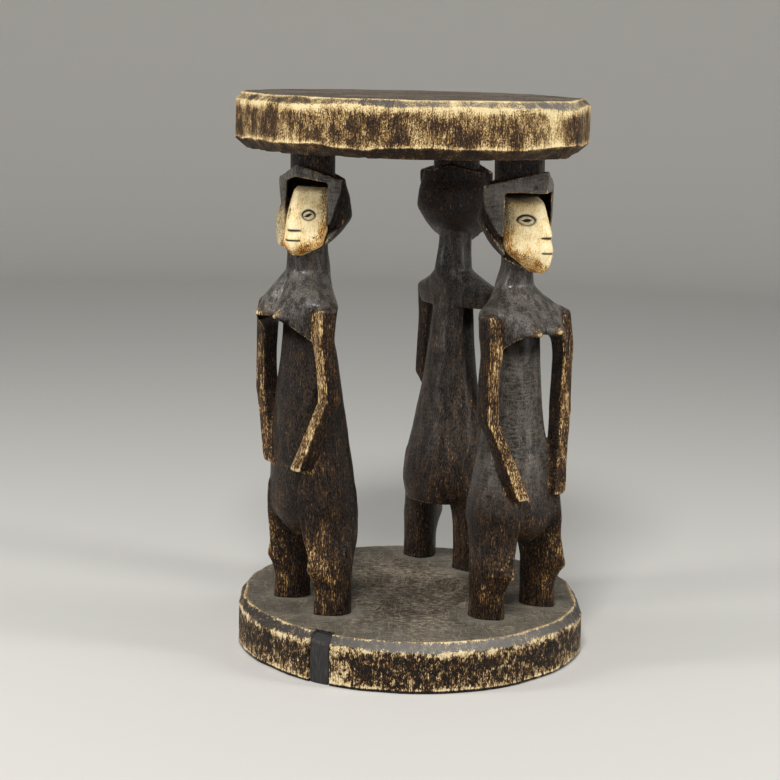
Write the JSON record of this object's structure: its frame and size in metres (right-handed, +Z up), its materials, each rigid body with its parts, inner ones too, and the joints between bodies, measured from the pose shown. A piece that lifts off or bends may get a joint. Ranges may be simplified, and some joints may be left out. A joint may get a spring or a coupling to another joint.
{
  "type": "ceremonial stool",
  "caption": "Round carved wooden stool: a thick disc seat borne on the heads of standing figures with whitened wedge faces, on a thick disc base.",
  "frame": {"origin": "on the floor under the middle of the outline's bounding box, close to the axis of the seat", "axes": "+Z up through the seat; -Y towards the picture's viewer; +X to the viewer's right"},
  "size_m": [0.2736, 0.275, 0.4213],
  "materials": {
    "worn_wood": "dark stain worn to pale wood on the edges, scratched",
    "dark_wood": "dark brown patina, polished by handling, worn tan on the edges",
    "white_clay": "carved wood whitened with clay, yellowed and matt",
    "repair_wood": "dull near-black let-in block"
  },
  "bodies": {
    "root": {"seat": "worn_wood", "base": "worn_wood", "rim_repair": "repair_wood", "left_figure": "dark_wood", "right_figure": "dark_wood", "back_figure": "dark_wood", "left_face": "white_clay", "right_face": "white_clay", "back_face": "white_clay"}
  },
  "joints": []
}
